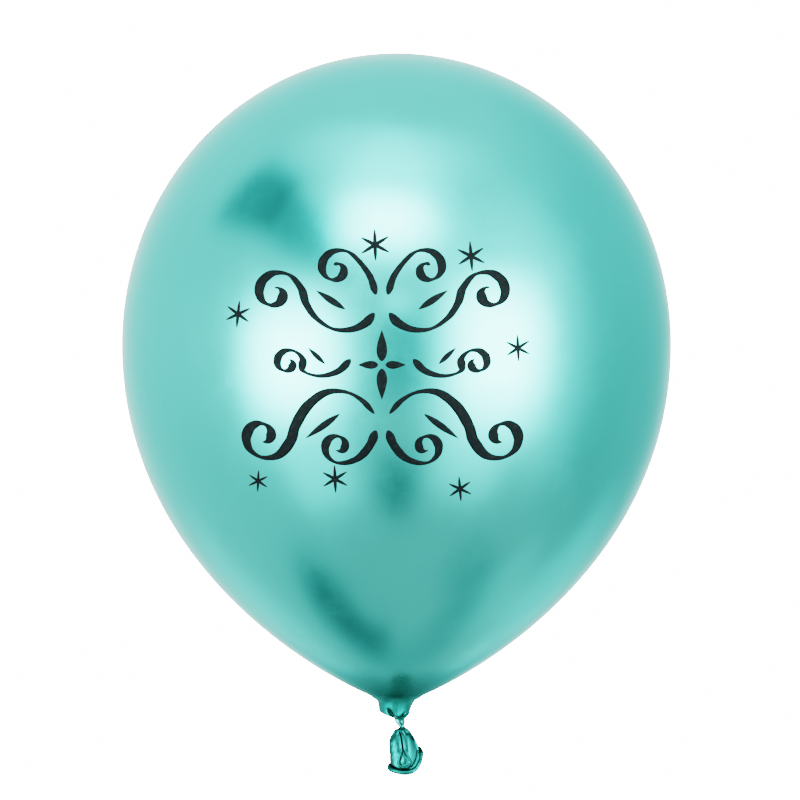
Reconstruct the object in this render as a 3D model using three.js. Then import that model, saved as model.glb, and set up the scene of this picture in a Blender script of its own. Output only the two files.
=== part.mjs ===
// A tied 12 inch (300 mm) metallic latex party balloon, in millimetres, +Z up, printed face towards -Y.
// The origin is the centre of the knot, where a ribbon or a balloon stick holds it.
// From top to bottom: bulb, neck, knot core with a loop wrapped round it, a twisted waist, and the
// flattened tail with its rolled lip. The print is a scroll ornament with seven small stars.
import * as THREE from "three";

// ---- Driving dimensions ----

// Bulb: half an ellipse above its widest ring, one cubic curve below it.
const BULB_RADIUS = 150;
const EQUATOR_HEIGHT = 206;
const CROWN_RISE = 159;
const SHOULDER_RADIUS = 14.35;
const SHOULDER_HEIGHT = 14;
const BULB_SEGMENTS = 44;
const SMALL_SEGMENTS = 28;

// The walls are drawn thicker than real latex, so that each film is a solid.
const BULB_WALL = 0.4;
const NECK_WALL = 0.45;
const FILM_GAP = 0.35;

// The knot sits to one side of the bulb's axis, and the neck leans a little the other way.
const BULB_AXIS_X = -3;
const NECK_LEAN = 0.8;
const NECK_CORNER_RADIUS = 8.5;

// Knot: a ball of gathered film, and the loop round it, inside a socket of the neck's underside.
const CORE_RADIUS = 2;
const LOOP_STRAND = 0.6;
const LOOP_RADIUS = CORE_RADIUS + LOOP_STRAND + 0.3;
const LOOP_TURNS = 1.2;
const LOOP_START_SHARE = 0.31;
const LOOP_LOW = 5;
const LOOP_CLIMB = 34;
const SOCKET_RADIUS = 4.05;

// Waist: from under the knot core to the ball that the tail hangs on.
const WAIST_CUP_RADIUS = CORE_RADIUS + FILM_GAP;
const TAIL_PIVOT_HEIGHT = -5.8;
const TAIL_BALL_RADIUS = 1.6;

// Tail: a short tube of film, flattened front to back, swung and slanted a little to one side.
const RIM_RADIUS = 8.4;
const TAIL_LENGTH = 18.2;
const TAIL_FLATNESS = 0.58;
const TAIL_FAN = 3.8;
const TAIL_SLANT = 2.1;
const TAIL_FRONT_DROP = 2.5;
const TAIL_SWING = THREE.MathUtils.degToRad(8);
const LIP_BEAD_RADIUS = 1.3;
const LIP_GAP = 0.5;

// Print: lies a little way off the film, because facets and true surface differ.
const PRINT_AXIS_X = -7.3;
const ORNAMENT_SCALE = 0.93;
const PRINT_LIFT = 0.3;
const PRINT_THICKNESS = 0.3;
const PEN_ANGLE = THREE.MathUtils.degToRad(20);
const STAR_WAIST_SHARE = 0.24;

// ---- Materials ----

const chromeLatex = new THREE.MeshStandardMaterial({ color: 0x4fb9b3, metalness: 0.9, roughness: 0.3 });
const neckLatex = new THREE.MeshStandardMaterial({ color: 0x2e9c92, metalness: 0.8, roughness: 0.35 });
const printInk = new THREE.MeshStandardMaterial({ color: 0x1d2123, metalness: 0, roughness: 0.6 });

// ---- Outline of the bulb, as Vector2(radius, height) ----

const upperOutline = new THREE.EllipseCurve(
  0, EQUATOR_HEIGHT, BULB_RADIUS, CROWN_RISE, Math.PI / 2, 0, true,
);
const lowerOutline = new THREE.CubicBezierCurve(
  new THREE.Vector2(BULB_RADIUS, EQUATOR_HEIGHT),
  new THREE.Vector2(BULB_RADIUS, 100.5),
  new THREE.Vector2(66, 37),
  new THREE.Vector2(SHOULDER_RADIUS, SHOULDER_HEIGHT),
);

/** The bulb's radius at a height, by bisection on the lower curve. */
function bulbRadiusAt(height) {
  if (height >= EQUATOR_HEIGHT) {
    return BULB_RADIUS * Math.sqrt(1 - ((height - EQUATOR_HEIGHT) / CROWN_RISE) ** 2);
  }
  let above = 0;
  let below = 1;
  for (let i = 0; i < 40; i++) {
    const middle = (above + below) / 2;
    if (lowerOutline.getPoint(middle).y > height) above = middle;
    else below = middle;
  }
  return lowerOutline.getPoint(above).x;
}

// ---- Solids of revolution ----

/** Revolves [radius, height] pairs or Vector2s about Z. The solid lies right of the direction of travel. */
function revolve(profile, segments) {
  const points = profile.map((p) => (p.isVector2 ? p : new THREE.Vector2(...p)));
  return new THREE.LatheGeometry(points.reverse(), segments).rotateX(Math.PI / 2);
}

/** The same profile moved to the right of its direction of travel, for the far side of a film. */
function innerFace(outer, wall) {
  return outer.map((point, i) => {
    const next = outer[Math.min(i + 1, outer.length - 1)];
    const along = next.clone().sub(outer[Math.max(i - 1, 0)]).normalize();
    const inward = new THREE.Vector2(along.y, -along.x);
    if (point.x === 0) inward.set(0, -Math.sign(along.x));
    return point.clone().addScaledVector(inward, wall);
  });
}

/** Points of an arc about the axis, from one angle above the horizontal to another, in degrees. */
function arc(centreHeight, radius, from, to, steps) {
  return Array.from({ length: steps + 1 }, (_, i) => {
    const angle = THREE.MathUtils.degToRad(from + ((to - from) * i) / steps);
    const reach = Math.abs(Math.cos(angle)) < 1e-9 ? 0 : radius * Math.cos(angle);
    return new THREE.Vector2(reach, centreHeight + radius * Math.sin(angle));
  });
}

function makeBulb() {
  const outer = [...upperOutline.getPoints(12), ...lowerOutline.getPoints(14).slice(1)];
  outer[0].x = 0;
  return revolve([...outer, ...innerFace(outer, BULB_WALL).reverse()], BULB_SEGMENTS);
}

/** A cup: open to the bulb above, and pushed in by the knot below. */
function makeNeck() {
  const side = [
    [13.95, 13.8],
    [12.3, 12.3],
    [11.4, 10.6],
    [10.6, 8.4],
    [9.9, 6.4],
    [9.2, 4.9],
    [8.2, 3.9],
    [6.4, 2.9],
    [4.7, 2.35],
  ].map((p) => new THREE.Vector2(...p));
  const outer = [...side, ...arc(0, SOCKET_RADIUS, 33, 90, 5)];
  const geometry = revolve([...innerFace(outer, NECK_WALL).reverse(), ...outer], SMALL_SEGMENTS);
  return bend(geometry, (p) => {
    const fromSocket = Math.hypot(p.x, p.y) - SOCKET_RADIUS - NECK_WALL;
    const share = THREE.MathUtils.clamp(fromSocket / (NECK_CORNER_RADIUS - SOCKET_RADIUS), 0, 1);
    const lean = NECK_LEAN * (1 - THREE.MathUtils.smoothstep(p.z, 4, SHOULDER_HEIGHT - 2));
    p.x += THREE.MathUtils.lerp(-BULB_AXIS_X, -lean, share);
  });
}

function makeKnotCore() {
  return new THREE.SphereGeometry(CORE_RADIUS, 20, 12).rotateX(Math.PI / 2);
}

/** A little over one turn of film, climbing round the knot core and staying close to it. */
class LoopCurve extends THREE.Curve {
  getPoint(t, target = new THREE.Vector3()) {
    const angle = 2 * Math.PI * (LOOP_TURNS * t - LOOP_START_SHARE);
    const climb = THREE.MathUtils.degToRad(LOOP_LOW + LOOP_CLIMB * LOOP_TURNS * t);
    const level = LOOP_RADIUS * Math.cos(climb);
    return target.set(level * Math.sin(angle), -level * Math.cos(angle), LOOP_RADIUS * Math.sin(climb));
  }
}

function makeKnotLoop() {
  const section = new THREE.Shape().absarc(0, 0, LOOP_STRAND, 0, 2 * Math.PI);
  return new THREE.ExtrudeGeometry(section, { curveSegments: 8, steps: 32, extrudePath: new LoopCurve() });
}

/** A cup under the knot core, a thin neck, and the ball that the tail hangs on. */
function makeWaist() {
  const profile = [
    ...arc(0, WAIST_CUP_RADIUS, -90, -54, 3),
    [1.8, -2.3],
    [1.45, -3.1],
    [1.2, -3.8],
    [1.15, -4.4],
    ...arc(TAIL_PIVOT_HEIGHT, TAIL_BALL_RADIUS, 46, -90, 6),
  ];
  return revolve(profile, 20);
}

// ---- Tail ----

/** Moves each vertex of a geometry by a function of its place. */
function bend(geometry, move) {
  const position = geometry.getAttribute("position");
  const point = new THREE.Vector3();
  for (let i = 0; i < position.count; i++) {
    point.fromBufferAttribute(position, i);
    move(point);
    position.setXYZ(i, point.x, point.y, point.z);
  }
  return geometry;
}

/** Turns the round tail, measured from its pivot, into the flattened and slanted one. */
function drape(point) {
  const depth = THREE.MathUtils.clamp(-point.z / TAIL_LENGTH, 0, 1);
  const side = point.x / RIM_RADIUS;
  const front = point.y / RIM_RADIUS;
  point.y *= THREE.MathUtils.lerp(1, TAIL_FLATNESS, THREE.MathUtils.smoothstep(depth, 0.1, 0.5));
  point.z += depth * (TAIL_FAN * side * side + TAIL_SLANT * side + TAIL_FRONT_DROP * front);
}

/** Solid where the film is gathered round the waist's ball, open underneath. */
function makeTailSkirt() {
  const outside = [
    ...arc(0, TAIL_BALL_RADIUS + FILM_GAP, -90, -2, 5),
    [2.9, 0.2],
    [4.3, -0.9],
    [6.1, -2.7],
    [7.2, -5.4],
    [7.8, -9],
    [8.25, -13.5],
    [RIM_RADIUS + 0.25, -TAIL_LENGTH],
  ];
  const inside = [
    [RIM_RADIUS - 0.25, -TAIL_LENGTH],
    [7.75, -13.5],
    [7.3, -9],
    [6.6, -6.2],
    [4.8, -4.5],
    [0, -4],
  ];
  return bend(revolve([...outside, ...inside], SMALL_SEGMENTS), drape);
}

/** The rolled bead round the mouth. */
function makeRolledLip() {
  const centreHeight = -TAIL_LENGTH - LIP_GAP - LIP_BEAD_RADIUS;
  const ring = new THREE.TorusGeometry(RIM_RADIUS, LIP_BEAD_RADIUS, 8, 32);
  return bend(ring, (point) => {
    const angle = Math.atan2(point.y, point.x);
    const outward = Math.hypot(point.x, point.y) - RIM_RADIUS;
    const rise = point.z;
    const across = new THREE.Vector3(Math.cos(angle) * TAIL_FLATNESS, Math.sin(angle), 0).normalize();
    point.set(RIM_RADIUS * Math.cos(angle), RIM_RADIUS * Math.sin(angle), centreHeight);
    drape(point);
    point.addScaledVector(across, outward);
    point.z += rise;
  });
}

// ---- Print ----

/** A point this far off the bulb's front, under (x, height) as seen from the front. */
function onBulb(x, height, lift) {
  const step = 0.5;
  const radius = bulbRadiusAt(height);
  const slope = (bulbRadiusAt(height + step) - bulbRadiusAt(height - step)) / (2 * step);
  const point = new THREE.Vector3(x, -Math.sqrt(radius * radius - x * x), height);
  const outward = new THREE.Vector3(point.x, point.y, -radius * slope).normalize();
  return point.addScaledVector(outward, lift);
}

/** Lays a flat geometry, drawn in XY from z = 0 to 1, on the bulb: X to the right, Y up, Z off the film. */
function layOnBulb(geometry, centreX, centreHeight, scale) {
  return bend(geometry, (p) => {
    const lift = PRINT_LIFT + PRINT_THICKNESS * p.z;
    p.copy(onBulb(centreX + p.x * scale, centreHeight + p.y * scale, lift));
  });
}

/** Points of a spiral round a centre, for the curled end of a stroke. Angles are in degrees. */
function spiral(centre, startRadius, endRadius, startAngle, endAngle, steps = 11) {
  return Array.from({ length: steps + 1 }, (_, i) => {
    const share = i / steps;
    const angle = THREE.MathUtils.degToRad(startAngle + (endAngle - startAngle) * share);
    const radius = startRadius * (endRadius / startRadius) ** share;
    return [centre[0] + radius * Math.cos(angle), centre[1] + radius * Math.sin(angle)];
  });
}

/** A pen stroke: a long box bent along a curve, wide on rising and falling runs, with rounded ends. */
function makeStroke({ path, thin, thick, steps }, side) {
  const curve = new THREE.SplineCurve(path.map(([x, y]) => new THREE.Vector2(x * side, y)));
  const roundShare = 0.05;
  return bend(new THREE.BoxGeometry(1, 1, 1, steps, 1, 1), (p) => {
    const share = p.x + 0.5;
    const centre = curve.getPointAt(share);
    const along = curve.getTangentAt(share);
    const penAngle = side * (Math.atan2(along.y, along.x * side) - PEN_ANGLE);
    const ends = Math.sqrt(THREE.MathUtils.clamp(Math.min(share, 1 - share) / roundShare, 0.06, 1));
    const width = (thin + (thick - thin) * Math.abs(Math.sin(penAngle)) ** 1.5) * ends;
    p.set(centre.x - along.y * width * p.y, centre.y + along.x * width * p.y, p.z + 0.5);
  });
}

/** A leaf or drop: a straight stroke, widest at a share of its length. */
function makeLeaf({ from, to, thick, widestShare }, side) {
  const start = new THREE.Vector2(from[0] * side, from[1]);
  const run = new THREE.Vector2(to[0] * side, to[1]).sub(start);
  const across = new THREE.Vector2(-run.y, run.x).normalize();
  const skew = Math.log(0.5) / Math.log(widestShare);
  return bend(new THREE.BoxGeometry(1, 1, 1, 10, 1, 1), (p) => {
    const share = p.x + 0.5;
    const width = 0.35 + thick * Math.sin(Math.PI * share ** skew);
    const centre = start.clone().addScaledVector(run, share).addScaledVector(across, width * p.y);
    p.set(centre.x, centre.y, p.z + 0.5);
  });
}

/** A six-pointed star, extruded. */
function makeStar(size) {
  const points = Array.from({ length: 12 }, (_, i) => {
    const reach = i % 2 === 0 ? size : size * STAR_WAIST_SHARE;
    const angle = (i * Math.PI) / 6 + Math.PI / 2;
    return new THREE.Vector2(reach * Math.cos(angle), reach * Math.sin(angle));
  });
  return new THREE.ExtrudeGeometry(new THREE.Shape(points), { depth: 1, bevelEnabled: false });
}

// Right-hand half of each ornament, in millimetres from its centre: [right, up].
const ORNAMENTS = {
  upper: {
    height: 223.5,
    strokes: {
      scroll: {
        path: [
          [4, -4], [9, -9.5], [17, -13], [27, -12.5], [36, -6.5], [41.5, 1.5],
          ...spiral([59, 7], 15, 3.4, 170, -270),
        ],
        thin: 1.8, thick: 5.8, steps: 46,
      },
      curl: {
        path: [[3.2, 6], [6.5, 16], [13, 25], ...spiral([25, 20], 11.5, 2.8, 120, -300)],
        thin: 1.6, thick: 5, steps: 34,
      },
    },
    leaf: { from: [20, -2], to: [36, 8.5], thick: 3.6, widestShare: 0.45 },
  },
  middle: {
    height: 193.5,
    strokes: {
      wave: {
        path: [[17, 3], [24, -3.5], [34, -6], ...spiral([52, 1], 10, 2.6, 205, -240)],
        thin: 1.5, thick: 4.6, steps: 32,
      },
    },
    leaf: { from: [31, 0.5], to: [40.5, 9.5], thick: 2.6, widestShare: 0.45 },
  },
  lower: {
    height: 164,
    strokes: {
      scroll: {
        path: [
          [4, 5], [11, 12.5], [20, 17], [31, 16.5], [41, 9], [47.5, -1.5],
          ...spiral([66, -7], 16, 3.6, 190, 630),
        ],
        thin: 1.8, thick: 6, steps: 46,
      },
      curl: {
        path: [[3.2, -4], [6.5, -12], [12, -18.5], ...spiral([24, -12.5], 10.5, 2.6, 240, 660)],
        thin: 1.5, thick: 4.8, steps: 34,
      },
    },
    leaf: { from: [23, 5], to: [42, -8.5], thick: 3.6, widestShare: 0.45 },
  },
};

// Four drops between the two ornaments: [name, start, end], from the middle outwards.
const DROPS_HEIGHT = 193.5;
const DROPS = [
  ["top", [0, 2], [0, 19], 5.6],
  ["bottom", [0, -2], [0, -19], 5.6],
  ["right", [2, 0], [13, 0], 4.2],
  ["left", [-2, 0], [-13, 0], 4.2],
];

// Each star's name, place right of the bulb's axis, height, size and turn in degrees.
const STARS = [
  ["top_middle", -10.8, 254.6, 8, 2],
  ["top_right", 38.1, 249, 7.6, 4],
  ["left", -81.2, 219.8, 6.8, -6],
  ["right", 62.1, 202.2, 6.7, 3],
  ["bottom_left", -71.3, 133.9, 5.6, -4],
  ["bottom_middle", -31.3, 135.3, 7, 2],
  ["bottom_right", 32.6, 130.2, 6.3, 5],
];

// ---- Assembly ----

function add(group, name, geometry, material) {
  const mesh = new THREE.Mesh(geometry, material);
  mesh.name = name;
  group.add(mesh);
}

function addOrnament(group, row, { height, strokes, leaf }) {
  for (const [hand, side] of [["left", -1], ["right", 1]]) {
    for (const [kind, stroke] of Object.entries(strokes)) {
      const laid = layOnBulb(makeStroke(stroke, side), PRINT_AXIS_X, height, ORNAMENT_SCALE);
      add(group, `print_${row}_${kind}_${hand}`, laid, printInk);
    }
    const laidLeaf = layOnBulb(makeLeaf(leaf, side), PRINT_AXIS_X, height, ORNAMENT_SCALE);
    add(group, `print_${row}_leaf_${hand}`, laidLeaf, printInk);
  }
}

const bulbGroup = new THREE.Group();
bulbGroup.position.x = BULB_AXIS_X;
add(bulbGroup, "bulb_film", makeBulb(), chromeLatex);
add(bulbGroup, "neck_film", makeNeck(), neckLatex);
for (const [row, ornament] of Object.entries(ORNAMENTS)) {
  addOrnament(bulbGroup, row, ornament);
}
for (const [name, from, to, thick] of DROPS) {
  const drop = makeLeaf({ from, to, thick, widestShare: 0.35 }, 1);
  const laid = layOnBulb(drop, PRINT_AXIS_X, DROPS_HEIGHT, ORNAMENT_SCALE);
  add(bulbGroup, `print_drop_${name}`, laid, printInk);
}
for (const [name, x, height, size, turn] of STARS) {
  const star = makeStar(size).rotateZ(THREE.MathUtils.degToRad(turn));
  add(bulbGroup, `print_star_${name}`, layOnBulb(star, x, height, 1), printInk);
}

const tailGroup = new THREE.Group();
tailGroup.position.z = TAIL_PIVOT_HEIGHT;
tailGroup.rotation.y = -TAIL_SWING;
add(tailGroup, "tail_skirt", makeTailSkirt(), neckLatex);
add(tailGroup, "rolled_lip", makeRolledLip(), neckLatex);

const balloon = new THREE.Group();
add(balloon, "knot_core", makeKnotCore(), neckLatex);
add(balloon, "knot_loop", makeKnotLoop(), neckLatex);
add(balloon, "waist_strand", makeWaist(), neckLatex);
balloon.add(bulbGroup, tailGroup);

export default balloon;
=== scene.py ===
"""The looks of a tied metallic latex balloon: film, neck, knot, tail, lip and printed ornament.

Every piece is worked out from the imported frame's boxes. Lengths are in metres, angles in degrees
where a name says so. The printed side faces -Y, and the knot is at the origin.
"""

import math

import bpy
import numpy as np
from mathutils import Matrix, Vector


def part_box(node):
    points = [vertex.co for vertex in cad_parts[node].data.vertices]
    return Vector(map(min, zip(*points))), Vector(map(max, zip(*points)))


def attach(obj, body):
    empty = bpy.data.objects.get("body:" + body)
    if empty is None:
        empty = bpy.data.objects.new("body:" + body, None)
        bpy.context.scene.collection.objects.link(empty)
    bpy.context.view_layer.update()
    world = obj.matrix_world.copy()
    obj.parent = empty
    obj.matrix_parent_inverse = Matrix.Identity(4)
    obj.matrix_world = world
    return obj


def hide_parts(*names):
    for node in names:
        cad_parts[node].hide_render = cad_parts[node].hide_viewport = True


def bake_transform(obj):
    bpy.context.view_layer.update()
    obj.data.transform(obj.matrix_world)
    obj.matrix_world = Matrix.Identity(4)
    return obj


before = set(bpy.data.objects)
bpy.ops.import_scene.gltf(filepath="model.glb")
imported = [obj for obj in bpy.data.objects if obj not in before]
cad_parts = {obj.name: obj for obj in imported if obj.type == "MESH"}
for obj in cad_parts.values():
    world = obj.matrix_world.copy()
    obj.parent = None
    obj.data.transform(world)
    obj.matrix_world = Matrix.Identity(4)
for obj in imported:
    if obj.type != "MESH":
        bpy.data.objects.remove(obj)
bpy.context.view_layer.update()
MM = 0.001
RNG_SEED = 7

# ---- Sizes, from the frame ----

BULB_LOW, BULB_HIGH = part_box("bulb_film")
AXIS_X = (BULB_LOW.x + BULB_HIGH.x) / 2
BULB_RADIUS = (BULB_HIGH.x - BULB_LOW.x) / 2
CROWN_Z = BULB_HIGH.z
CROWN_RISE = 159 * MM
EQUATOR_Z = CROWN_Z - CROWN_RISE
SHOULDER_RADIUS = 14.35 * MM
SHOULDER_Z = BULB_LOW.z
BULB_LOWER_HANDLE = (BULB_RADIUS, 100.5 * MM)
SHOULDER_HANDLE = (66 * MM, 37 * MM)

# ---- Curves ----


def bezier(points, shares):
    """Points of a cubic curve with four control points."""
    a, b, c, d = np.array(points, float)
    t = np.array(shares)[:, None]
    return (1 - t) ** 3 * a + 3 * (1 - t) ** 2 * t * b + 3 * (1 - t) * t * t * c + t**3 * d


def smooth_curve(points, steps):
    """Points at even distances along the smooth curve that passes through the given ones."""
    p = np.array(points, float)
    p = np.vstack([2 * p[0] - p[1], p, 2 * p[-1] - p[-2]])
    t = np.linspace(0, 1, 24, endpoint=False)[:, None]
    runs = []
    for a, b, c, d in zip(p, p[1:], p[2:], p[3:]):
        square = 2 * a - 5 * b + 4 * c - d
        cube = 3 * b - a - 3 * c + d
        runs.append(((2 * b) + (c - a) * t + square * t**2 + cube * t**3) / 2)
    fine = np.vstack([*runs, p[-2:-1]])
    along = np.r_[0, np.cumsum(np.linalg.norm(np.diff(fine, axis=0), axis=1))]
    places = np.linspace(0, along[-1], steps + 1)
    return np.column_stack([np.interp(places, along, column) for column in fine.T])


def smoothstep(value, low, high):
    t = np.clip((value - low) / (high - low), 0, 1)
    return t * t * (3 - 2 * t)


def bump(value, centre, width):
    """1 at the centre, and close to 0 two widths away from it."""
    return np.exp(-(((value - centre) / width) ** 2))


def distance_to_path(x, z, path):
    """Each point's distance to a broken line, and the share of the line's length nearest to it."""
    best = np.full(x.shape, 1e9)
    share = np.zeros(x.shape)
    path = np.array(path, float)
    for i, (a, b) in enumerate(zip(path, path[1:])):
        run = b - a
        t = np.clip(((x - a[0]) * run[0] + (z - a[1]) * run[1]) / run.dot(run), 0, 1)
        d = np.hypot(x - a[0] - t * run[0], z - a[1] - t * run[1])
        nearer = d < best
        best = np.where(nearer, d, best)
        share = np.where(nearer, (i + t) / (len(path) - 1), share)
    return best, share


# ---- Meshes ----


def make_object(name, vertices, faces, material):
    mesh = bpy.data.meshes.new(name)
    mesh.from_pydata([tuple(v) for v in vertices], [], faces)
    mesh.update()
    mesh.polygons.foreach_set("use_smooth", [True] * len(mesh.polygons))
    mesh.materials.append(material)
    piece = bpy.data.objects.new(name, mesh)
    bpy.context.scene.collection.objects.link(piece)
    return piece


def ring_faces(upper, lower, count):
    """Quads between two rings of vertices, given by the number of each ring's first vertex."""
    pairs = [(i, (i + 1) % count) for i in range(count)]
    return [(upper + i, upper + after, lower + after, lower + i) for i, after in pairs]


def make_skin(name, rings, first_point, last_point, material):
    """A closed skin through rings of points, with one point closing each end."""
    rows, count = rings.shape[:2]
    vertices = np.vstack([rings.reshape(-1, 3), first_point, last_point])
    faces = []
    for row in range(rows - 1):
        faces += ring_faces(row * count, (row + 1) * count, count)
    first, last, low = rows * count, rows * count + 1, (rows - 1) * count
    faces += [(first, (i + 1) % count, i) for i in range(count)]
    faces += [(last, low + i, low + (i + 1) % count) for i in range(count)]
    return make_object(name, vertices, faces, material)


def make_ring(name, rings, material):
    """A closed ring, such as a bead, through sections of points."""
    rows, count = rings.shape[:2]
    faces = []
    for row in range(rows):
        faces += ring_faces(row * count, (row + 1) % rows * count, count)
    return make_object(name, rings.reshape(-1, 3), faces, material)


def face_outwards(piece):
    """Turns every face of a closed mesh outwards."""
    bpy.context.view_layer.objects.active = piece
    piece.select_set(True)
    bpy.ops.object.mode_set(mode="EDIT")
    bpy.ops.mesh.select_all(action="SELECT")
    bpy.ops.mesh.normals_make_consistent(inside=False)
    bpy.ops.object.mode_set(mode="OBJECT")
    piece.select_set(False)


def finish_piece(piece, body, slot, *nodes):
    """Settles what a piece rides on and the CAD nodes it stands for; the finish slot is not used."""
    face_outwards(piece)
    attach(piece, body)
    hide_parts(*nodes)
    return piece


# ---- Materials ----


class Nodes:
    """A short way to write shader nodes."""

    def __init__(self, tree):
        self.tree = tree

    def link(self, source, target):
        self.tree.links.new(source, target)

    def set(self, socket, value):
        """Sets an input to a number or a colour, or links it to another node's output."""
        if isinstance(value, bpy.types.NodeSocket):
            self.link(value, socket)
        else:
            socket.default_value = (*value, 1) if isinstance(value, tuple) else value

    def math(self, operation, *values):
        node = self.tree.nodes.new("ShaderNodeMath")
        node.operation = operation
        for socket, value in zip(node.inputs, values):
            self.set(socket, value)
        return node.outputs[0]

    def step(self, value, low, high, start=0.0, end=1.0):
        """Goes smoothly from start to end as the value goes from low to high."""
        node = self.tree.nodes.new("ShaderNodeMapRange")
        node.interpolation_type = "SMOOTHSTEP"
        ranges = {"Value": value, "From Min": low, "From Max": high, "To Min": start, "To Max": end}
        for name, setting in ranges.items():
            self.set(node.inputs[name], setting)
        return node.outputs["Result"]

    def noise(self, vector, scale, detail=3.0, roughness=0.5, distortion=0.0):
        node = self.tree.nodes.new("ShaderNodeTexNoise")
        settings = {"Vector": vector, "Scale": scale, "Detail": detail, "Roughness": roughness,
                    "Distortion": distortion}
        for name, setting in settings.items():
            self.set(node.inputs[name], setting)
        return node.outputs["Fac"]

    def mix(self, factor, first, second):
        """Mix of two colours."""
        node = self.tree.nodes.new("ShaderNodeMix")
        node.data_type = "RGBA"
        colours = [socket for socket in node.inputs if socket.type == "RGBA"]
        self.set(node.inputs[0], factor)
        self.set(colours[0], first)
        self.set(colours[1], second)
        return next(socket for socket in node.outputs if socket.type == "RGBA")

    def bump(self, height, strength, distance, shader):
        """Small relief on the surface of a shader."""
        node = self.tree.nodes.new("ShaderNodeBump")
        self.set(node.inputs["Strength"], strength)
        self.set(node.inputs["Distance"], distance)
        self.set(node.inputs["Height"], height)
        self.link(node.outputs["Normal"], shader.inputs["Normal"])


def new_material(name):
    material = bpy.data.materials.new(name)
    material.use_nodes = True
    place = material.node_tree.nodes.new("ShaderNodeTexCoord").outputs["Object"]
    return material, Nodes(material.node_tree), material.node_tree.nodes["Principled BSDF"], place


def make_bulb_latex():
    """Thin stretched film with a mirror-like pigment, darker and more satin where it is gathered."""
    material, nodes, shader, place = new_material("chrome_latex")
    split = material.node_tree.nodes.new("ShaderNodeSeparateXYZ")
    nodes.link(place, split.inputs[0])
    height = split.outputs["Z"]
    gathered = nodes.step(height, 34 * MM, 12 * MM)
    crown = nodes.step(height, CROWN_Z - 6 * MM, CROWN_Z, 0.0, 0.55)
    thin = nodes.mix(nodes.noise(place, 9, 4), (0.125, 0.475, 0.43), (0.155, 0.525, 0.475))
    thick = nodes.mix(nodes.noise(place, 260, 3), (0.027, 0.195, 0.170), (0.050, 0.260, 0.235))
    film = nodes.mix(gathered, thin, thick)
    nodes.link(nodes.mix(crown, film, (0.03, 0.34, 0.30)), shader.inputs["Base Color"])
    smudge = nodes.step(nodes.noise(place, 34, 5, 0.62), 0.42, 0.72, 0.0, 0.06)
    fine = nodes.step(nodes.noise(place, 900, 2), 0.35, 0.75, 0.0, 0.03)
    rough = nodes.math("ADD", nodes.math("ADD", smudge, fine), nodes.step(gathered, 0, 1, 0.2, 0.4))
    nodes.link(rough, shader.inputs["Roughness"])
    shader.inputs["Metallic"].default_value = 1.0
    shader.inputs["Specular Tint"].default_value = (0.72, 0.93, 0.91, 1)
    shader.inputs["Coat Weight"].default_value = 0.06
    shader.inputs["Coat Roughness"].default_value = 0.15
    nodes.bump(nodes.noise(place, 14, 2, 0.4), 0.3, 1.0 * MM, shader)
    return material


def make_gathered_latex():
    """Unstretched film of the knot, tail and lip: dense and satin, with paler tight strands."""
    material, nodes, shader, place = new_material("gathered_latex")
    split = material.node_tree.nodes.new("ShaderNodeSeparateXYZ")
    nodes.link(place, split.inputs[0])
    height = split.outputs["Z"]
    above_tail = nodes.step(height, -4.2 * MM, -2.6 * MM)
    below_neck = nodes.step(height, 4.5 * MM, 1.5 * MM)
    tight = nodes.math("MULTIPLY", above_tail, below_neck)
    loose = nodes.mix(nodes.noise(place, 330, 4, 0.6), (0.019, 0.120, 0.106), (0.037, 0.168, 0.154))
    nodes.link(nodes.mix(tight, loose, (0.12, 0.37, 0.34)), shader.inputs["Base Color"])
    nodes.link(nodes.step(nodes.noise(place, 700, 3), 0.3, 0.75, 0.24, 0.36), shader.inputs["Roughness"])
    shader.inputs["Metallic"].default_value = 0.95
    shader.inputs["Specular Tint"].default_value = (0.05, 0.2, 0.18, 1)
    shader.inputs["Coat Weight"].default_value = 0.08
    shader.inputs["Coat Roughness"].default_value = 0.2
    nodes.bump(nodes.noise(place, 620, 3, 0.6, 0.6), 0.15, 0.15 * MM, shader)
    return material


def make_print_ink():
    """Elastic ink, stretched with the film: near black, a little uneven, with a dull shine."""
    material, nodes, shader, place = new_material("print_ink")
    worn = nodes.step(nodes.noise(place, 420, 5, 0.65), 0.45, 0.8)
    nodes.link(nodes.mix(worn, (0.006, 0.007, 0.008), (0.014, 0.017, 0.018)), shader.inputs["Base Color"])
    nodes.link(nodes.step(nodes.noise(place, 800, 2), 0.3, 0.7, 0.5, 0.62), shader.inputs["Roughness"])
    shader.inputs["Specular IOR Level"].default_value = 0.19
    shader.inputs["Specular Tint"].default_value = (0.62, 0.95, 0.93, 1)
    nodes.bump(nodes.noise(place, 1500, 2), 0.2, 0.04 * MM, shader)
    return material


def make_floor_paint():
    material, nodes, shader, place = new_material("floor_paint")
    paint = nodes.mix(nodes.noise(place, 3, 3), (0.80, 0.80, 0.80), (0.84, 0.84, 0.84))
    nodes.link(paint, shader.inputs["Base Color"])
    shader.inputs["Roughness"].default_value = 0.9
    return material


# ---- Bulb and neck, one continuous film ----

COLUMNS = 320
UPPER_ROWS = 60
LOWER_ROWS = 90
NECK_ROWS = 110
PLEAT_DEPTH = 0.2 * MM
NECK_FRONT_RISE = 2.0 * MM
NECK_RISE_Z = 14.4 * MM
NECK_RISE_REACH = 2.8 * MM
CORNER_REACH = 2.2 * MM
NECK_FRONT_DROP = 1.7 * MM

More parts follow.
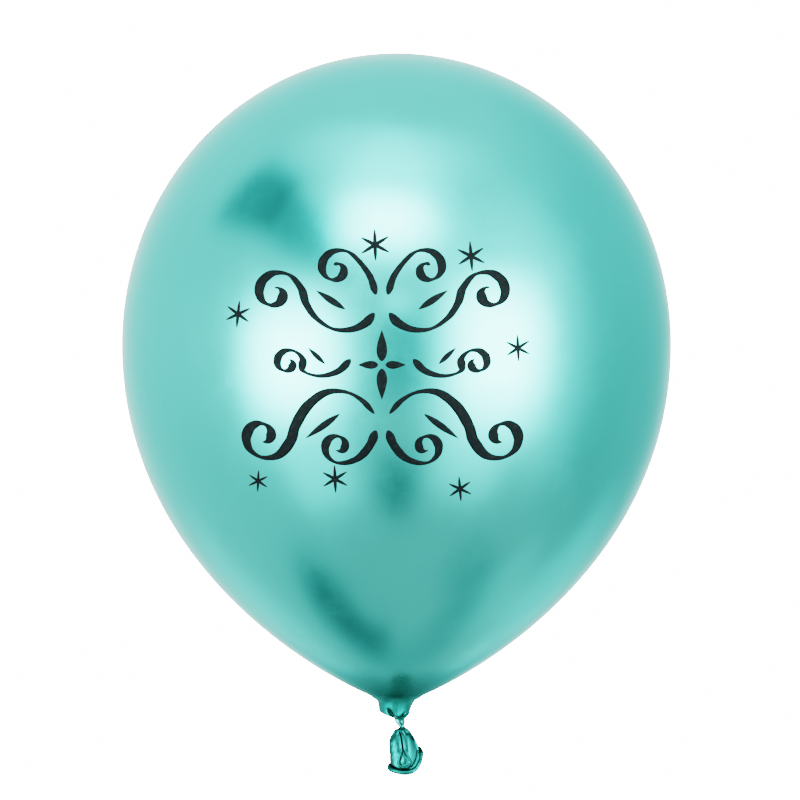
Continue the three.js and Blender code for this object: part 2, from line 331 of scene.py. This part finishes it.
# The neck's left and right edges seen from the front, in millimetres: [height, left, right].
NECK_EDGES = [
    (14.0, -17.35, 11.35), (12.6, -15.6, 9.4), (11.6, -13.9, 7.6), (10.6, -13.2, 6.7), (8.5, -12.85, 5.4),
    (6.5, -12.5, 4.6), (5.2, -12.2, 4.3), (4.6, -11.3, 4.15), (3.8, -9.1, 3.8), (3.0, -6.9, 3.2),
    (2.2, -5.0, 2.5), (1.4, -4.1, 1.8), (0.4, -3.2, 1.0), (-0.4, -2.2, 0.2),
]

# Folds on the front of the neck, as [right, up] from the knot in millimetres, with depth and half-width.
# A minus depth is a raised ridge.
NECK_FOLDS = [
    ([(-8.5, 7.7), (-6.9, 6.1), (-5.1, 3.6), (-3.4, 0.9)], 3.2, 0.8),
    ([(2.3, 5.9), (0.3, 3.8), (-1.1, 2.3), (-2.3, 1.2)], 2.4, 0.5),
    ([(4.6, 7.0), (2.9, 4.5), (1.2, 2.9), (-0.8, 1.6)], 1.3, 0.28),
    ([(4.2, 4.9), (3.2, 3.4), (1.9, 2.1), (0.0, 1.0)], -0.9, 0.6),
]


def bulb_outline():
    """Radius and height from the crown to the shoulder, closer together near the neck."""
    angles = np.linspace(0, math.pi / 2, UPPER_ROWS)
    upper = np.column_stack([BULB_RADIUS * np.sin(angles), EQUATOR_Z + CROWN_RISE * np.cos(angles)])
    controls = [(BULB_RADIUS, EQUATOR_Z), BULB_LOWER_HANDLE, SHOULDER_HANDLE, (SHOULDER_RADIUS, SHOULDER_Z)]
    shares = 1 - (1 - np.linspace(0, 1, LOWER_ROWS)[1:]) ** 1.35
    return np.vstack([upper, bezier(controls, shares)])


def film_rows():
    """Height, middle and half-width of every row of the film, from under the crown to inside the knot."""
    outline = bulb_outline()[1:]
    bulb = np.column_stack([outline[:, 1], np.full(len(outline), AXIS_X), outline[:, 0]])
    height, left, right = smooth_curve(np.array(NECK_EDGES) * MM, NECK_ROWS)[1:].T
    return np.vstack([bulb, np.column_stack([height, (left + right) / 2, (right - left) / 2])])


def film_table():
    """The bulb's outline, for laying the print on it: heights in rising order, and radii."""
    outline = bulb_outline()[::-1]
    return outline[:, 1], outline[:, 0]


def pleat_pattern(angles):
    """Uneven folds round the neck, from -1 to 1, with narrow valleys."""
    rng = np.random.default_rng(RNG_SEED)
    total = np.zeros_like(angles)
    for count in (5, 8, 13, 19):
        total += np.cos(count * angles + rng.uniform(0, 2 * math.pi)) / count**0.45
    total /= np.abs(total).max()
    return 1 - 2 * ((1 - total) / 2) ** 1.6


def fold_depth(x, z, folds):
    """How far the folds sink the surface at each place seen from the front."""
    depth = np.zeros_like(x)
    for path, deep, half_width in folds:
        distance, share = distance_to_path(x / MM, z / MM, path)
        depth += deep * MM * bump(distance, 0, half_width) * smoothstep(share, 0, 0.45)
    return depth


def rounded_share(height, radius):
    """How much deeper than wide each row is: the neck's top corner is softer at front and back."""
    near = np.exp(-((height[:, None] - height) / CORNER_REACH) ** 2) * np.abs(np.gradient(height))
    softer = near @ radius / near.sum(axis=1)
    at_corner = smoothstep(height, 6 * MM, 9 * MM) * smoothstep(height, 30 * MM, 22 * MM)
    return 1 + (softer / radius - 1) * at_corner


def make_bulb(material):
    height, middle, radius = film_rows().T
    angles = -np.linspace(0, 2 * math.pi, COLUMNS, endpoint=False)
    pleating = PLEAT_DEPTH * smoothstep(height, 24 * MM, 8 * MM) * np.clip(radius / (9 * MM), 0.3, 1)
    reach = radius[:, None] + np.outer(pleating, pleat_pattern(angles))
    x = middle[:, None] + reach * np.cos(angles)
    rise = NECK_FRONT_RISE * bump(height, NECK_RISE_Z, NECK_RISE_REACH)
    y = reach * np.outer(rounded_share(height, radius), np.sin(angles))
    y -= np.outer(rise, np.sin(angles) * np.abs(np.sin(angles)))
    near_foot = smoothstep(height, 11 * MM, 5 * MM) * smoothstep(height, 0.2 * MM, 2.5 * MM)
    z = height[:, None] - NECK_FRONT_DROP * np.outer(near_foot, np.clip(-np.sin(angles), 0, 1) ** 2)
    front = smoothstep(-y, 0, 2 * MM) * (z < 10 * MM)
    y = y + fold_depth(x, z, NECK_FOLDS) * front
    rings = np.dstack([x, y, z])
    crown = (AXIS_X, 0, CROWN_Z)
    piece = make_skin("film_bulb_and_neck", rings, crown, rings[-1].mean(axis=0), material)
    return finish_piece(piece, "bulb", "chrome_latex", "bulb_film", "neck_film")


# ---- Knot ----

KNOT_ROWS = 70
KNOT_COLUMNS = 140

# The gathered lump in the middle of the knot, in millimetres: [height, left, right].
KNOT_EDGES = [
    (2.3, -1.7, 0.5), (1.9, -3.0, 1.0), (1.1, -4.1, 1.5), (0.2, -4.1, 1.6), (-0.7, -3.7, 1.6),
    (-1.6, -2.9, 1.5), (-2.4, -2.0, 1.45), (-3.1, -1.5, 1.4), (-3.6, -0.9, 0.8),
]
KNOT_FOLDS = [
    ([(-1.9, 0.9), (-1.3, -0.6), (-0.4, -1.9), (0.5, -3.4)], 0.9, 0.26),
    ([(1.3, 0.6), (1.0, -0.9), (0.6, -2.2), (0.5, -3.4)], 0.7, 0.24),
    ([(-3.3, 0.2), (-2.2, -1.3), (-1.2, -2.4), (-0.3, -3.2)], -0.5, 0.6),
]


def make_knot_core(material):
    """A lump of gathered film, with one strand running down across its front."""
    height, left, right = smooth_curve(np.array(KNOT_EDGES) * MM, KNOT_ROWS).T
    around = -np.linspace(0, 2 * math.pi, KNOT_COLUMNS, endpoint=False)
    turning = np.cos(5 * around[None, :] + 600 * height[:, None])
    ridges = turning * 0.5 + np.cos(9 * around - 2)[None, :] * 0.3
    reach = ((right - left) / 2)[:, None] * (1 + 0.06 * ridges)
    x = ((right + left) / 2)[:, None] + reach * np.cos(around)
    y = reach * np.sin(around)
    z = np.repeat(height[:, None], len(around), axis=1)
    y = y + fold_depth(x, z, KNOT_FOLDS) * smoothstep(-y, 0, 0.8 * MM)
    rings = np.dstack([x, y, z])
    piece = make_skin("knot_gather", rings, rings[0].mean(axis=0), rings[-1].mean(axis=0), material)
    return finish_piece(piece, "knot", "gathered_latex", "knot_core")


def sweep_ring(name, centre_line, outward, half_width, half_thickness, material):
    """A flat band along a closed line: wide along the surface below it, thin away from it."""
    turns = np.linspace(0, 2 * math.pi, 24, endpoint=False)
    sections = []
    for i, middle in enumerate(centre_line):
        along = centre_line[(i + 1) % len(centre_line)] - centre_line[i - 1]
        along /= np.linalg.norm(along)
        out = outward[i] - along * outward[i].dot(along)
        out /= np.linalg.norm(out)
        across = np.cross(along, out)
        creases = 1 + 0.16 * np.cos(3 * turns)
        sections.append(middle + np.outer(np.cos(turns) * half_width[i], across)
                        + np.outer(np.sin(turns) * half_thickness * creases, out))
    return make_ring(name, np.array(sections), material)


WRAP_SECTIONS = 160
WRAP_HEART = np.array((-0.6, 0.0, 3.2)) * MM
WRAP_LEFT = np.array((-3.0, 0.0, -0.1)) * MM
WRAP_RIGHT = np.array((3.7, 0.0, 5.3)) * MM
WRAP_DEPTH = 3.5 * MM
WRAP_BOW = 0.9 * MM


def make_knot_wrap(material):
    """The strand wrapped over the neck's foot: its front runs down from the right and bows outwards.
    """
    around = np.linspace(0, 2 * math.pi, WRAP_SECTIONS, endpoint=False)
    middle = (WRAP_LEFT + WRAP_RIGHT) / 2
    reach = (WRAP_RIGHT - WRAP_LEFT) / 2
    bow = np.abs(np.sin(around))[:, None] * np.array((0.7, 0, -0.7)) * WRAP_BOW
    line = middle + np.outer(np.cos(around), reach) + bow
    line[:, 1] = -WRAP_DEPTH * np.sin(around) * (1 + 0.12 * np.cos(around))
    outward = line - WRAP_HEART
    half_width = (0.78 + 0.12 * np.cos(around + 0.4)) * MM
    piece = sweep_ring("knot_wrap", line, outward, half_width, 0.5 * MM, material)
    face_outwards(piece)
    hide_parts("knot_loop")
    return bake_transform(piece)


# ---- Waist and tail, one continuous film ----

TAIL_COLUMNS = 330
TAIL_ROW_COUNT = 170
TAIL_WALL = 0.3 * MM
TAIL_FLATNESS = 0.58
INSIDE_TOP_Z = -9.0
INSIDE_CAP_RISE = 0.6 * MM
PUCKER_DEPTH = 0.12 * MM
LIP_RADIUS = 1.38 * MM
LIP_REACH = 0.75 * MM
LIP_DROP = 0.2 * MM
LIP_SECTIONS = 280
LIP_TURNS = 32
RIM_SKEW = 0.55

# Rows of the tail from inside the knot to the rim, in millimetres: left edge [x, z], right edge [x, z],
# and heights at the middle of the front and of the back. The hollow inside starts at INSIDE_TOP_Z.
TAIL_ROWS = [
    (-0.8, -1.7, 0.8, -1.7, -1.7, -1.7),
    (-1.3, -2.4, 1.3, -2.4, -2.4, -2.4),
    (-1.35, -3.1, 1.35, -3.0, -3.1, -3.0),
    (-2.2, -4.0, 2.1, -3.6, -4.1, -3.7),
    (-4.0, -4.9, 3.7, -4.7, -5.3, -4.6),
    (-5.6, -7.3, 5.0, -6.4, -7.7, -6.4),
    (-7.0, -10.4, 6.4, -8.6, -10.9, -8.7),
    (-7.05, -14.4, 7.9, -11.3, -15.4, -11.2),
    (-6.75, -18.6, 9.0, -14.2, -20.4, -13.8),
    (-6.6, -22.0, 9.2, -15.3, -25.3, -15.5),
    (-5.9, -23.9, 8.2, -16.8, -26.8, -17.0),
    (-6.0, -25.0, 9.9, -17.6, -27.6, -17.6),
]

# Folds on the front of the tail, as [right, up] from the knot in millimetres, with depth and half-width.
TAIL_FOLDS = [
    ([(-2.2, -4.0), (-1.5, -6.0), (-0.5, -8.3), (0.0, -11.6), (0.5, -15.4)], 1.3, 0.27),
    ([(-1.7, -4.0), (-0.3, -8.2), (0.1, -12.0), (0.6, -16.0)], 0.7, 1.7),
    ([(-2.4, -4.4), (-3.8, -5.9), (-5.0, -7.8), (-6.4, -10.4)], 1.2, 0.8),
    ([(0.9, -4.2), (2.0, -5.3), (2.6, -6.4)], 1.3, 0.9),
    ([(2.6, -4.4), (3.9, -6.0), (5.1, -7.9), (6.3, -9.8)], 1.0, 0.75),
    ([(2.4, -26.8), (6.9, -24.7), (8.8, -20.9), (9.2, -17.0)], 1.4, 0.8),
]

# The drop that the middle fold opens into, in millimetres: its ends as [right, up], radii and depth, and how
# far the pillow inside it and the welt round it stand out.
DROP_TOP = (0.55, -15.2)
DROP_BOTTOM = (1.15, -21.9)
DROP_TOP_RADIUS = 0.15
DROP_RADIUS = 2.75
DROP_DEPTH = 1.35
DROP_PILLOW = 0.8
DROP_WELT = 0.35

# Smaller relief, in millimetres: slanting streaks on the left, and how far the right side turns back.
STREAK_DEPTH = 0.05
RIGHT_TURN = 0.9


def drop_relief(x, z):
    """The hollow drop, with a pillow inside it and a welt round it, in millimetres."""
    distance, share = distance_to_path(x, z, [DROP_TOP, DROP_BOTTOM])
    reach = DROP_TOP_RADIUS + (DROP_RADIUS - DROP_TOP_RADIUS) * share**0.85
    inside = reach - distance
    gentler_left = smoothstep(x + 0.5 * z, -11.2, -7.6) * smoothstep(z, -17.5, -21.5)
    gentler = np.maximum(gentler_left, smoothstep(z, -22.6, -24.4))
    edge = smoothstep(inside, -0.12 - 0.5 * gentler, 0.42 + 1.3 * gentler)
    hollow = DROP_DEPTH * edge * (1 - 0.4 * gentler)
    rounded = np.sqrt(np.clip(inside - 0.3, 0, None) / DROP_RADIUS)
    pillow = DROP_PILLOW * rounded * smoothstep(inside, 0.2, 0.9)
    welt = DROP_WELT * bump(inside, -0.55, 0.5) * smoothstep(z, -14, -18)
    return hollow - pillow - welt


def streak_relief(x, z):
    """Slanting streaks on the tail's left, from about -1 to 1."""
    bend = 1.1 * np.sin(0.6 * z + 0.5) + 0.7 * np.sin(1.1 * x + 0.8)
    streaks = np.sin(2.4 * x - 1.2 * z + bend) + 0.35 * np.sin(5.3 * x - 2.4 * z - bend)
    return streaks * bump(x, -4.4, 2.2) * smoothstep(z, -6.5, -9.5) * smoothstep(z, -25, -21)


def tail_relief(x, z):
    """How far the tail's front sinks: folds, the drop that the middle one opens into, and streaks."""
    x_mm, z_mm = x / MM, z / MM
    turned = smoothstep(x_mm, 3.2, 7.6) * smoothstep(z_mm, -6, -10)
    small = STREAK_DEPTH * streak_relief(x_mm, z_mm) + RIGHT_TURN * turned
    return fold_depth(x, z, TAIL_FOLDS) + (drop_relief(x_mm, z_mm) + small) * MM


def tail_ring(row, around, inset):
    """One row of the tail: an oval seen end on, with its own heights at its edges, front and back."""
    left_x, left_z, right_x, right_z, front_z, back_z = row * MM
    middle, half = (left_x + right_x) / 2, (right_x - left_x) / 2 - inset
    u, v = np.cos(around), np.sin(around)
    flat = 1 - (1 - TAIL_FLATNESS) * smoothstep(-front_z, 3.2 * MM, 8 * MM)
    swell = np.sign(v) * np.abs(v) ** 0.9
    x = middle + half * u
    y = half * flat * swell
    edge_z = (left_z + right_z) / 2 + (right_z - left_z) / 2 * u
    face_z = np.where(v < 0, front_z, back_z) - (left_z + right_z) / 2
    z = edge_z + face_z * np.abs(v) * (1 + RIM_SKEW * u)
    on_back = (v > 0) * v * smoothstep(-front_z, 6 * MM, 10 * MM)
    y = y + PUCKER_DEPTH * np.sin(9 * around + 300 * half) * on_back
    below_waist = smoothstep(-front_z, 4 * MM, 5 * MM)
    above_rim = 1 - smoothstep(-front_z, 25.6 * MM, 26.6 * MM)
    y = y + tail_relief(x, z) * smoothstep(-v, 0.02, 0.4) * below_waist * above_rim
    return np.column_stack([x, y, z])


def make_tail(material):
    around = -np.linspace(0, 2 * math.pi, TAIL_COLUMNS, endpoint=False)
    rows = smooth_curve(np.array(TAIL_ROWS), TAIL_ROW_COUNT)
    outside = [tail_ring(row, around, 0) for row in rows]
    inside = [tail_ring(row, around, TAIL_WALL) for row in rows[::-1] if row[4] < INSIDE_TOP_Z]
    rings = np.array(outside + inside)
    cap = rings[-1].mean(axis=0) + np.array([0, 0, INSIDE_CAP_RISE])
    piece = make_skin("film_waist_and_tail", rings, rings[0].mean(axis=0), cap, material)
    face_outwards(piece)
    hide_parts("waist_strand", "tail_skirt")
    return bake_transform(piece)


def make_lip(material):
    """The bead that the rim is rolled into, standing a little outside the film above it."""
    around = np.linspace(0, 2 * math.pi, LIP_SECTIONS, endpoint=False)
    turns = np.linspace(0, 2 * math.pi, LIP_TURNS, endpoint=False)
    line = tail_ring(np.array(TAIL_ROWS[-1]), around, -LIP_REACH)
    line[:, 2] -= LIP_DROP
    sections = []
    for i, place in enumerate(line):
        along = line[(i + 1) % len(line)] - line[i - 1]
        along /= np.linalg.norm(along)
        out = np.cross(along, (0, 0, 1.0))
        out /= np.linalg.norm(out)
        up = np.cross(out, along)
        thinner_right = 0.15 * max(0, math.cos(around[i]))
        uneven = 0.04 * math.sin(4 * around[i]) + 0.03 * math.sin(11 * around[i] + 1)
        size = LIP_RADIUS * (1 - thinner_right + uneven)
        sections.append(place + np.outer(np.cos(turns) * size, out) + np.outer(np.sin(turns) * size, up))
    piece = make_ring("lip_bead", np.array(sections), material)
    return finish_piece(piece, "tail", "gathered_latex", "rolled_lip")


# ---- Print ----

PRINT_AXIS_X = AXIS_X - 7.3 * MM
ORNAMENT_SCALE = 0.93
PRINT_THICKNESS = 0.07 * MM
PRINT_SINK = 0.02 * MM
PEN_ANGLE = math.radians(20)
STROKE_STEPS = 220
LEAF_STEPS = 60
STAR_EDGE_STEPS = 6

# One ray of a star, up to the waist after it: share of the star's size, and degrees from the ray.
STAR_RAY = [(0.6, -9.5), (1.0, -1.8), (1.0, 1.8), (0.6, 9.5), (0.24, 30)]

# Rings of a star, from its middle over its rim to its underside: share of its size, and share of
# the ink's thickness above the film.
STAR_RINGS = [
    (0.25, 1), (0.5, 1), (0.75, 0.97), (0.93, 0.8), (1, 0.2), (1, -0.3), (0.6, -0.3), (0.25, -0.3),
]


def on_film(x, z, lift):
    """Points this far off the bulb's front, under (x, z) as seen from the front."""
    heights, radii = film_table()
    radius = np.interp(z, heights, radii)
    slope = (np.interp(z + MM, heights, radii) - np.interp(z - MM, heights, radii)) / (2 * MM)
    across = x - AXIS_X
    y = -np.sqrt(radius**2 - across**2)
    normal = np.stack([across, y, -radius * slope], axis=-1)
    normal /= np.linalg.norm(normal, axis=-1, keepdims=True)
    return np.stack([x, y, z], axis=-1) + normal * lift[..., None]


def spiral(centre, start_radius, end_radius, start_angle, end_angle, steps=11):
    """Points of a spiral, for the curled end of a stroke."""
    share = np.linspace(0, 1, steps + 1)
    angle = np.radians(start_angle + (end_angle - start_angle) * share)
    radius = start_radius * (end_radius / start_radius) ** share
    return [(centre[0] + r * math.cos(a), centre[1] + r * math.sin(a)) for r, a in zip(radius, angle)]


def make_ribbon(name, origin, line, across, widths, material):
    """A thin closed strip of ink along a line drawn from its ornament's middle, in millimetres."""
    shares = np.linspace(-0.5, 0.5, 7)
    crown = PRINT_THICKNESS * (1 - (2 * np.abs(shares)) ** 6)
    rings = []
    for centre, side, width in zip(line, across, widths):
        top = origin + ORNAMENT_SCALE * (centre + np.outer(shares * width, side))
        bottom = top[::-1]
        flat = np.vstack([top, bottom[1:-1]]) * MM
        lift = np.r_[crown, np.full(len(bottom) - 2, -PRINT_SINK)]
        rings.append(on_film(flat[:, 0], flat[:, 1], lift))
    rings = np.array(rings)
    return make_skin(name, rings, rings[0].mean(axis=0), rings[-1].mean(axis=0), material)


def make_stroke(name, origin, path, thin, thick, side, material):
    """A pen stroke: wide on rising and falling runs, with rounded ends and a slightly uneven edge."""
    line = smooth_curve(np.array(path) * (side, 1), STROKE_STEPS)
    along = np.gradient(line, axis=0)
    along /= np.linalg.norm(along, axis=1)[:, None]
    share = np.linspace(0, 1, len(line))
    pen = side * (np.arctan2(along[:, 1], along[:, 0] * side) - PEN_ANGLE)
    ends = np.sqrt(np.clip(np.minimum(share, 1 - share) / 0.05, 0.004, 1))
    uneven = 1 + 0.03 * np.sin(40 * share + 9 * origin[1]) + 0.02 * np.sin(97 * share)
    widths = (thin + (thick - thin) * np.abs(np.sin(pen)) ** 1.5) * ends * uneven
    across = np.column_stack([-along[:, 1], along[:, 0]])
    return make_ribbon(name, origin, line, across, widths, material)


def make_leaf(name, origin, start, end, thick, widest, side, material):
    """A leaf or drop: a straight stroke, widest at a share of its length."""
    start, end = np.array(start) * (side, 1), np.array(end) * (side, 1)
    share = np.linspace(0, 1, LEAF_STEPS)
    line = start + np.outer(share, end - start)
    run = (end - start) / np.linalg.norm(end - start)
    across = np.tile([-run[1], run[0]], (len(share), 1))
    skew = math.log(0.5) / math.log(widest)
    widths = 0.1 + thick * np.sin(math.pi * share**skew)
    return make_ribbon(name, origin, line, across, widths, material)


def make_star(name, origin, size, turn_degrees, material):
    """A six-pointed star of slim rays."""
    rays = [(size * share, math.radians(90 + turn_degrees + 60 * ray + aside))
            for ray in range(6) for share, aside in STAR_RAY]
    points = np.array([(reach * math.cos(angle), reach * math.sin(angle)) for reach, angle in rays])
    steps = np.linspace(0, 1, STAR_EDGE_STEPS, endpoint=False)
    following = np.roll(points, -1, axis=0)
    outline = np.vstack([start + np.outer(steps, end - start) for start, end in zip(points, following)])
    rings = []
    for scale, lift in STAR_RINGS:
        flat = (np.array(origin) + outline * scale) * MM
        rings.append(on_film(flat[:, 0], flat[:, 1], np.full(len(flat), lift * PRINT_THICKNESS)))
    centre = np.array([origin]) * MM
    top = on_film(centre[:, 0], centre[:, 1], np.array([PRINT_THICKNESS]))[0]
    under = on_film(centre[:, 0], centre[:, 1], np.array([-PRINT_SINK]))[0]
    return make_skin(name, np.array(rings), top, under, material)


# Right-hand half of each ornament, in millimetres from its centre, as [right, up]. A stroke has its path and
# its thin and thick widths. A leaf has its ends, its width, and the share of its length where it is widest.
ORNAMENTS = {
    "upper": {
        "height": 223.5,
        "scroll": ([(4, -4), (9, -9.5), (17, -13), (27, -12.5), (36, -6.5), (41.5, 1.5),
                    *spiral((59, 7), 15, 3.4, 170, -270)], 1.8, 5.8),
        "curl": ([(3.2, 6), (6.5, 16), (13, 25), *spiral((25, 20), 11.5, 2.8, 120, -300)], 1.6, 5.0),
        "leaf": ((20, -2), (36, 8.5), 3.6, 0.45),
    },
    "middle": {
        "height": 193.5,
        "wave": ([(17, 3), (24, -3.5), (34, -6), *spiral((52, 1), 10, 2.6, 205, -240)], 1.5, 4.6),
        "leaf": ((31, 0.5), (40.5, 9.5), 2.6, 0.45),
    },
    "lower": {
        "height": 164,
        "scroll": ([(4, 5), (11, 12.5), (20, 17), (31, 16.5), (41, 9), (47.5, -1.5),
                    *spiral((66, -7), 16, 3.6, 190, 630)], 1.8, 6.0),
        "curl": ([(3.2, -4), (6.5, -12), (12, -18.5), *spiral((24, -12.5), 10.5, 2.6, 240, 660)], 1.5, 4.8),
        "leaf": ((23, 5), (42, -8.5), 3.6, 0.45),
    },
}

# Four drops round a middle point: start, end and width.
DROPS_HEIGHT = 193.5
DROPS = {
    "top": ((0, 2), (0, 19), 5.6),
    "bottom": ((0, -2), (0, -19), 5.6),
    "right": ((2, 0), (13, 0), 4.2),
    "left": ((-2, 0), (-13, 0), 4.2),
}

# Each star's place right of the bulb's axis, height, size and turn in degrees.
STARS = {
    "top_middle": (-10.8, 254.6, 8, 2),
    "top_right": (38.1, 249, 7.6, 4),
    "left": (-81.2, 219.8, 6.8, -6),
    "right": (62.1, 202.2, 6.7, 3),
    "bottom_left": (-71.3, 133.9, 5.6, -4),
    "bottom_middle": (-31.3, 135.3, 7, 2),
    "bottom_right": (32.6, 130.2, 6.3, 5),
}


def lay_print(piece, node):
    piece.name = "ink_" + node.removeprefix("print_")
    piece.data.name = piece.name
    return finish_piece(piece, "bulb", "print_ink", node)


def make_print(material):
    for row, parts in ORNAMENTS.items():
        origin = (PRINT_AXIS_X / MM, parts["height"])
        for hand, side in (("left", -1), ("right", 1)):
            for kind, shape in parts.items():
                if kind == "height":
                    continue
                node = f"print_{row}_{kind}_{hand}"
                make = make_leaf if kind == "leaf" else make_stroke
                lay_print(make(node + "_ink", origin, *shape, side, material), node)
    for name, (start, end, thick) in DROPS.items():
        node = f"print_drop_{name}"
        origin = (PRINT_AXIS_X / MM, DROPS_HEIGHT)
        lay_print(make_leaf(node + "_ink", origin, start, end, thick, 0.35, 1, material), node)
    for name, (x, height, size, turn) in STARS.items():
        node = f"print_star_{name}"
        lay_print(make_star(node + "_ink", (AXIS_X / MM + x, height), size, turn, material), node)


# ---- Studio ----

CAMERA_DISTANCE = 2.0
VIEW_WIDTH = 438 * MM
VIEW_CENTRE_X = -1.1 * MM
VIEW_CENTRE_Z = 175.7 * MM
FLOOR_Z = -0.9
FLOOR_RADIUS = 1.15
BACKGROUND_STRENGTH = 16.0

# Soft lights round the balloon, in degrees: bearing and height of the middle, half-width, half-height,
# softness of the sides and of the top and bottom, and how far the patch rises per degree to the right.
# Last comes its strength. Bearing 0 is behind the camera, and 90 is to its right.
LIGHTS = [
    (-6, 45, 14, 5, 22, 13, 0.0, 6.5),
    (-5, 60, 30, 14, 26, 18, 0.0, 0.9),
    (-12, 82, 75, 16, 50, 16, 0.0, 0.7),
    (-43, -4, 9, 8, 22, 21, 0.0, 8.2),
    (-48, -8, 18, 18, 18, 18, 0.0, 0.4),
    (-40, -40, 13, 8, 14, 12, 0.0, 0.9),
    (43, -1, 9, 12, 22, 21, 0.0, 7.5),
    (50, 6, 28, 34, 20, 22, 0.0, 0.5),
    (36, -36, 12, 8, 14, 12, 0.0, 0.8),
    (0, 14, 3, 2, 7, 6, 0.0, 1.6),
    (122, -54, 18, 7, 7, 6, 0.0, 0.2),
    (146, -34, 14, 8, 14, 10, 0.0, 0.45),
    (-150, -36, 14, 8, 14, 10, 0.0, 0.25),
    (-125, -25, 55, 30, 40, 30, 0.0, 0.15),
]

# Dark gaps between the lights, in the same terms. Last comes the share of the light that each takes away.
# They are a little teal: each colour keeps this power of the share that is left.
GAP_TINT = (1.7, 1.0, 0.95)
FLAGS = [
    (-84, 44, 15, 8, 6, 7, 0.1, 0.62),
    (-53, 40, 19, 7, 8, 6, -0.22, 0.58),
    (2, -4, 6, 10, 9, 9, 0.0, 0.4),
    (0, -48, 6, 6, 10, 10, 0.0, 0.64),
    (-126, -69, 38, 4, 18, 8, 0.1, 0.57),
    (80, -66, 16, 5, 14, 7, 0.0, 0.25),
    (180, -66, 70, 5, 30, 7, 0.0, 0.25),
    (180, -38, 13, 8, 12, 14, 0.0, 0.78),
    (118, 5, 30, 36, 26, 24, 0.0, 0.2),
]


def make_camera():
    data = bpy.data.cameras.new("camera")
    data.sensor_width = 36
    data.lens = data.sensor_width * CAMERA_DISTANCE / VIEW_WIDTH
    camera = bpy.data.objects.new("camera", data)
    camera.location = (VIEW_CENTRE_X, -CAMERA_DISTANCE, VIEW_CENTRE_Z)
    camera.rotation_euler = (math.radians(90), 0, 0)
    bpy.context.scene.collection.objects.link(camera)
    bpy.context.scene.camera = camera


def make_world():
    """A pale room with soft lights and dark gaps for reflections, and plain white for the camera."""
    world = bpy.data.worlds.new("studio")
    bpy.context.scene.world = world
    world.use_nodes = True
    tree = world.node_tree
    nodes = Nodes(tree)
    split = tree.nodes.new("ShaderNodeSeparateXYZ")
    nodes.link(tree.nodes.new("ShaderNodeTexCoord").outputs["Generated"], split.inputs[0])
    degrees = 180 / math.pi
    to_camera = nodes.math("MULTIPLY", split.outputs["Y"], -1.0)
    bearing = nodes.math("MULTIPLY", nodes.math("ARCTAN2", split.outputs["X"], to_camera), degrees)
    height = nodes.math("MULTIPLY", nodes.math("ARCSINE", split.outputs["Z"]), degrees)

    def faded(distance, half, softness):
        return nodes.step(nodes.math("ABSOLUTE", distance), half + softness, half - softness / 3)

    def patch(middle, up, half_width, half_height, side_softness, top_softness, rise):
        aside = nodes.math("WRAP", nodes.math("SUBTRACT", bearing, float(middle)), 180.0, -180.0)
        slope = nodes.math("MULTIPLY", aside, rise)
        above = nodes.math("SUBTRACT", nodes.math("SUBTRACT", height, float(up)), slope)
        return nodes.math("MULTIPLY", faded(aside, half_width, side_softness),
                          faded(above, half_height, top_softness))

    total = nodes.step(height, -60, 50, 0.72, 1.2)
    for *place, strength in LIGHTS:
        total = nodes.math("ADD", total, nodes.math("MULTIPLY", patch(*place), strength))
    shade = 1.0
    for *place, share in FLAGS:
        lost = nodes.math("MULTIPLY", patch(*place), share)
        shade = nodes.math("MULTIPLY", shade, nodes.math("SUBTRACT", 1.0, lost))
    colour = tree.nodes.new("ShaderNodeCombineColor")
    for socket, power in zip(colour.inputs, GAP_TINT):
        nodes.link(nodes.math("MULTIPLY", total, nodes.math("POWER", shade, power)), socket)
    background = tree.nodes["Background"]
    nodes.link(colour.outputs[0], background.inputs["Color"])
    white = tree.nodes.new("ShaderNodeBackground")
    white.inputs["Strength"].default_value = BACKGROUND_STRENGTH
    chooser = tree.nodes.new("ShaderNodeMixShader")
    nodes.link(tree.nodes.new("ShaderNodeLightPath").outputs["Is Camera Ray"], chooser.inputs[0])
    nodes.link(background.outputs[0], chooser.inputs[1])
    nodes.link(white.outputs[0], chooser.inputs[2])
    nodes.link(chooser.outputs[0], tree.nodes["World Output"].inputs["Surface"])


def make_floor():
    place = (0, 0, FLOOR_Z)
    bpy.ops.mesh.primitive_circle_add(vertices=128, radius=FLOOR_RADIUS, fill_type="NGON", location=place)
    floor = bpy.context.active_object
    floor.name = "floor"
    floor.data.materials.append(make_floor_paint())
    floor.visible_glossy = False


def set_colours():
    settings = bpy.context.scene.view_settings
    settings.view_transform = "Filmic"
    settings.look = "Very High Contrast"


# ---- Assembly ----

make_camera()
make_world()
make_floor()
set_colours()
bulb_latex = make_bulb_latex()
gathered_latex = make_gathered_latex()
make_bulb(bulb_latex)
make_knot_core(gathered_latex)
make_knot_wrap(gathered_latex)
make_tail(gathered_latex)
make_lip(gathered_latex)
make_print(make_print_ink())
